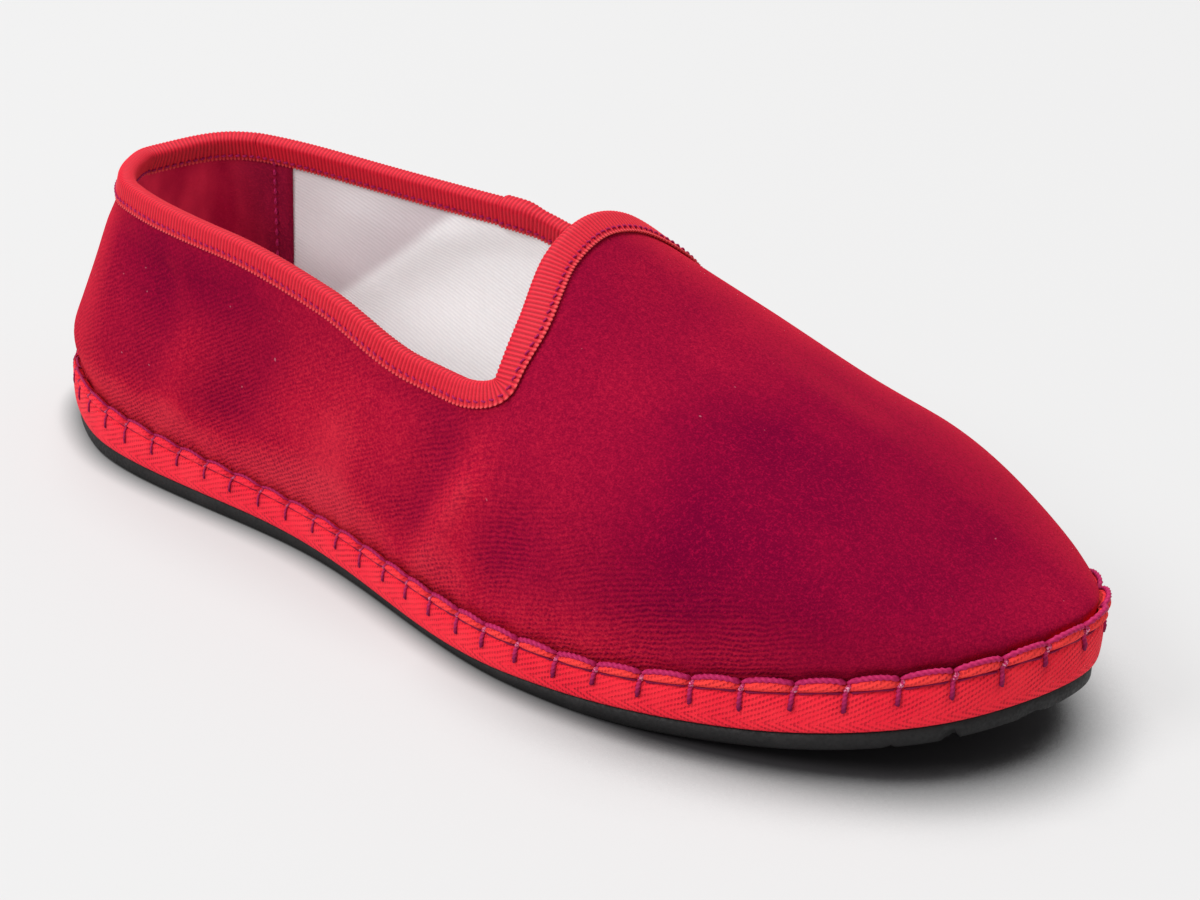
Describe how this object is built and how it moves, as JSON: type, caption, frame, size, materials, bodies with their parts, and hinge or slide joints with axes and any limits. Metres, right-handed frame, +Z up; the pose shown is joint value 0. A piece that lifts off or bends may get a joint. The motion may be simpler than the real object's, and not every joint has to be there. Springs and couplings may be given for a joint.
{
  "type": "furlane slipper",
  "caption": "Low velvet slip-on slipper for the right foot, with a ribbon-bound collar that rises to a peak over the instep, a taped cloth sole and a thin rubber outsole.",
  "frame": {"origin": "on the floor under the middle of the shoe's length and width", "axes": "+X to the toe, +Y to the inner side of the foot, +Z up"},
  "size_m": [0.2501, 0.0957, 0.076],
  "materials": {
    "rubber": "matt black rubber with a fine tread",
    "canvas": "quilted layers of plain cloth",
    "tape": "woven herringbone tape, bright red, sewn with purple thread",
    "cotton": "white cotton twill",
    "velvet": "deep crimson cotton velvet with a short nap",
    "ribbon": "ribbed bright red ribbon"
  },
  "bodies": {
    "root": {"outsole": "rubber", "midsole": "canvas", "edge_tape": "tape", "insole": "cotton", "upper": "velvet", "collar_binding": "ribbon"}
  },
  "joints": []
}
